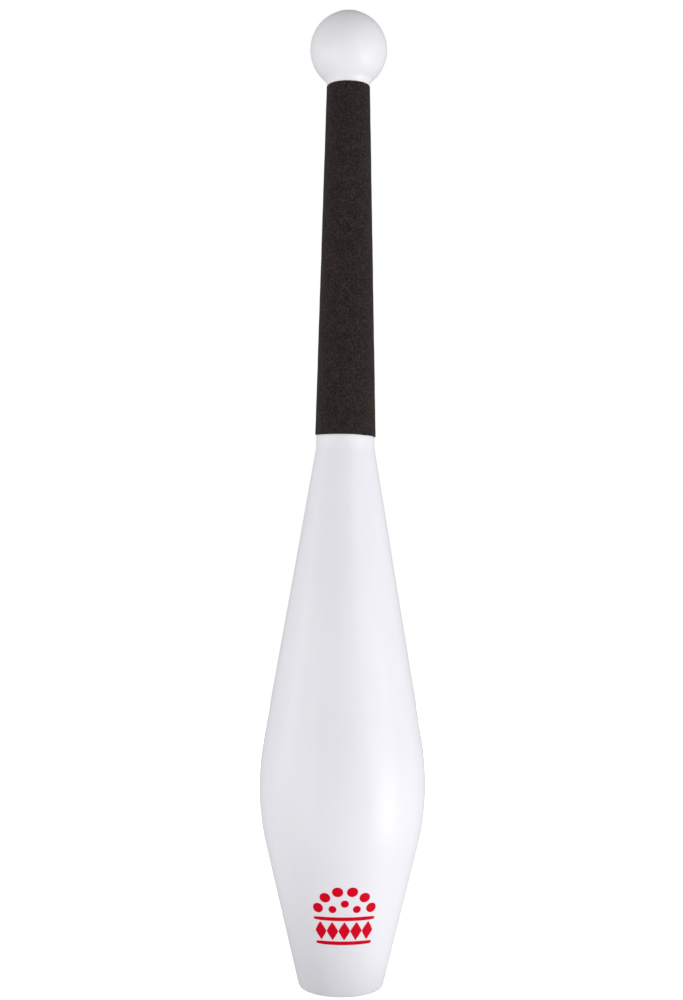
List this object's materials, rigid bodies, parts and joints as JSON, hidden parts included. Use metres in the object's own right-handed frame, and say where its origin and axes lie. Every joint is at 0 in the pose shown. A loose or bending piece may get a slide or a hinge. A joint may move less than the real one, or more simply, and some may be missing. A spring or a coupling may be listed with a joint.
{
  "type": "juggling club",
  "caption": "Juggling club with a hollow tapered plastic body, a foam-covered handle, a ball knob and a wooden core fastened at both ends.",
  "frame": {"origin": "middle of the flat base that the club stands on", "axes": "+Z along the club's axis from the base to the knob; -Y is the side that carries the printed emblem; +X is to the right when that side is seen"},
  "size_m": [0.0814, 0.0814, 0.48],
  "materials": {
    "body_white": "satin",
    "knob_white": "satin",
    "grip_foam": "matte",
    "tube_plastic": "satin",
    "plug_plastic": "satin",
    "cap_plastic": "satin",
    "bush_plastic": "matte",
    "core_wood": "matte",
    "screw_steel": "satin",
    "emblem_red": "satin"
  },
  "bodies": {
    "root": {"body_shell": "body_white", "handle_tube": "tube_plastic", "grip_sleeve": "grip_foam", "knob": "knob_white", "dowel": "core_wood", "base_plug": "plug_plastic", "neck_bush": "bush_plastic", "base_screw": "screw_steel", "base_washer": "screw_steel", "base_cap": "cap_plastic", "knob_screw": "screw_steel", "knob_washer": "screw_steel", "knob_cap": "knob_white"}
  },
  "joints": []
}
